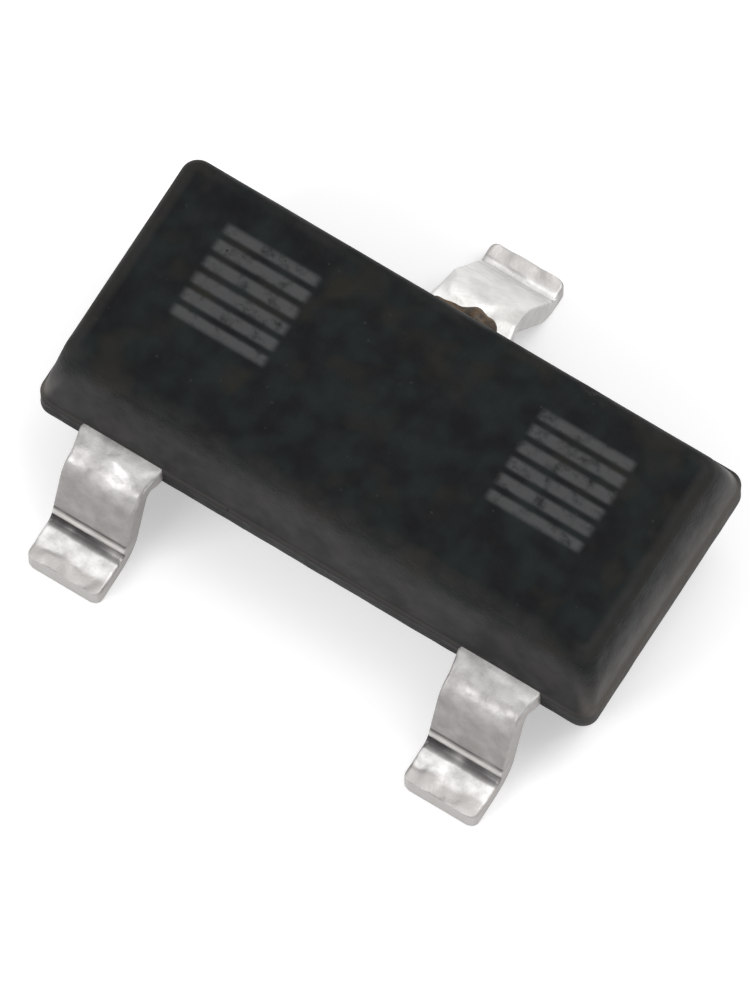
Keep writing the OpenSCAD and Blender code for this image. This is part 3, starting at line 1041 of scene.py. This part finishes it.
def flash_mesh():
    """A low uneven bead along the body's wall, with one larger drop."""
    shape = bmesh.new()
    rings = []
    for step in range(FLASH_STEPS + 1):
        fraction = step / FLASH_STEPS
        x = FLASH_LEFT + (FLASH_RIGHT - FLASH_LEFT) * fraction
        ends = math.sqrt(max(1.0 - (2.0 * fraction - 1.0) ** FLASH_END_POWER, FLASH_END_LEAST))
        drop = math.exp(-((x - DROP_X) / DROP_WIDTH) ** 2)
        ripple = RIPPLE_LEVEL + RIPPLE_SIZE * noise.noise(Vector((x / MM * RIPPLES_PER_MM, *RIPPLE_ROW)))
        reach = (FLASH_REACH + DROP_REACH * drop) * ripple * ends
        rise = (FLASH_RISE + DROP_RISE * drop) * ripple * ends
        rings.append([shape.verts.new(point) for point in flash_ring(x, reach, rise)])
    bridge_rings(shape, rings)
    shape.faces.new(rings[0])
    shape.faces.new(rings[-1])
    bmesh.ops.recalc_face_normals(shape, faces=shape.faces)
    mesh = keep_mesh("resin_flash", shape)
    mesh.shade_smooth()
    return mesh


flash = new_mesh_object("resin_flash", flash_mesh())
flash.data.materials.append(FLASH)
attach(flash, "root")


# Sealed pieces keep their solids and get their own finishes

def dress(node, finish):
    """Gives a piece's solid a finish."""
    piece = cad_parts[node]
    piece.data.materials.clear()
    piece.data.materials.append(finish)


GOLD = gold_finish()
dress("silicon_die", silicon_finish())
dress("die_attach", die_bond_finish())
dress("base_wire", GOLD)
dress("emitter_wire", GOLD)


# Floor, light and camera

FLOOR_SIZE = 400 * MM
FLOOR_GAP = 0.002 * MM
FLOOR_TONE = (0.80, 0.80, 0.80, 1)
FLOOR_GLOW = 0.38
WORLD_LIGHT = 0.55
WORLD_SEEN = 0.45
WHITE = (1, 1, 1, 1)
TARGET = Vector((0, 0, (cad_low.z + cad_high.z) / 2))


def seen_directly(nodes):
    """1 for rays from the camera, from gloss or through glass."""
    path = nodes.add("ShaderNodeLightPath").outputs
    seen = nodes.math("MAXIMUM", path["Is Camera Ray"], path["Is Glossy Ray"])
    return nodes.math("MAXIMUM", seen, path["Is Transmission Ray"])


def make_floor():
    """A white floor just under the feet, which glows a little where it is seen."""
    finish = bpy.data.materials.new("white_floor")
    finish.use_nodes = True
    finish.node_tree.nodes.clear()
    nodes = Nodes(finish.node_tree)
    paper = nodes.add("ShaderNodeBsdfDiffuse", {"Color": FLOOR_TONE})
    strength = nodes.math("MULTIPLY", seen_directly(nodes), FLOOR_GLOW)
    glow = nodes.add("ShaderNodeEmission", {"Color": WHITE, "Strength": strength})
    both = nodes.add("ShaderNodeAddShader", {0: paper.outputs[0], 1: glow.outputs[0]})
    nodes.add("ShaderNodeOutputMaterial", {"Surface": both.outputs[0]})
    shape = bmesh.new()
    below = Matrix.Translation((0, 0, -FLOOR_GAP))
    bmesh.ops.create_grid(shape, x_segments=1, y_segments=1, size=FLOOR_SIZE / 2, matrix=below)
    mesh = keep_mesh("studio_floor", shape)
    mesh.materials.append(finish)
    new_mesh_object("studio_floor", mesh)


def make_world():
    """White surroundings, which light the part less than they show."""
    world = bpy.data.worlds.new("studio")
    world.use_nodes = True
    world.node_tree.nodes.clear()
    nodes = Nodes(world.node_tree)
    strength = nodes.math("MULTIPLY_ADD", seen_directly(nodes), WORLD_SEEN, WORLD_LIGHT)
    sky = nodes.add("ShaderNodeBackground", {"Color": WHITE, "Strength": strength})
    nodes.add("ShaderNodeOutputWorld", {"Surface": sky.outputs[0]})
    bpy.context.scene.world = world


def make_softbox(name, place, size, energy):
    """A square light that faces the part, its place and size in millimetres."""
    lamp = bpy.data.lights.new(name, "AREA")
    lamp.size = size * MM
    lamp.energy = energy
    box = bpy.data.objects.new(name, lamp)
    box.location = Vector(place) * MM
    box.rotation_mode = "QUATERNION"
    box.rotation_quaternion = (TARGET - box.location).to_track_quat("-Z", "Y")
    box.visible_camera = False
    bpy.context.collection.objects.link(box)


def make_camera():
    """The photo's view: the picture is 750 wide and 1000 high, so the sensor spans its height."""
    camera = bpy.data.cameras.new("photo_view")
    camera.sensor_width = SENSOR
    camera.lens = SENSOR * VIEW_DISTANCE / VIEW_HEIGHT
    camera.clip_start = 1 * MM
    camera.clip_end = 2000 * MM
    azimuth, elevation = VIEW_AZIMUTH, VIEW_ELEVATION
    right = Vector((math.cos(azimuth), math.sin(azimuth), 0))
    back = Vector((math.sin(azimuth) * math.cos(elevation), -math.cos(azimuth) * math.cos(elevation),
                   math.sin(elevation)))
    up = back.cross(right)
    stand = bpy.data.objects.new("photo_view", camera)
    stand.location = TARGET + back * VIEW_DISTANCE + right * VIEW_RIGHT + up * VIEW_UP
    stand.rotation_mode = "QUATERNION"
    stand.rotation_quaternion = (-back).to_track_quat("-Z", "Y")
    bpy.context.collection.objects.link(stand)
    bpy.context.scene.camera = stand


make_floor()
make_world()
make_softbox("front_softbox", place=(-14, -26, 24), size=22, energy=0.0065)
make_softbox("top_softbox", place=(10, 14, 34), size=26, energy=0.0060)
make_camera()
bpy.context.scene.view_settings.view_transform = "Standard"
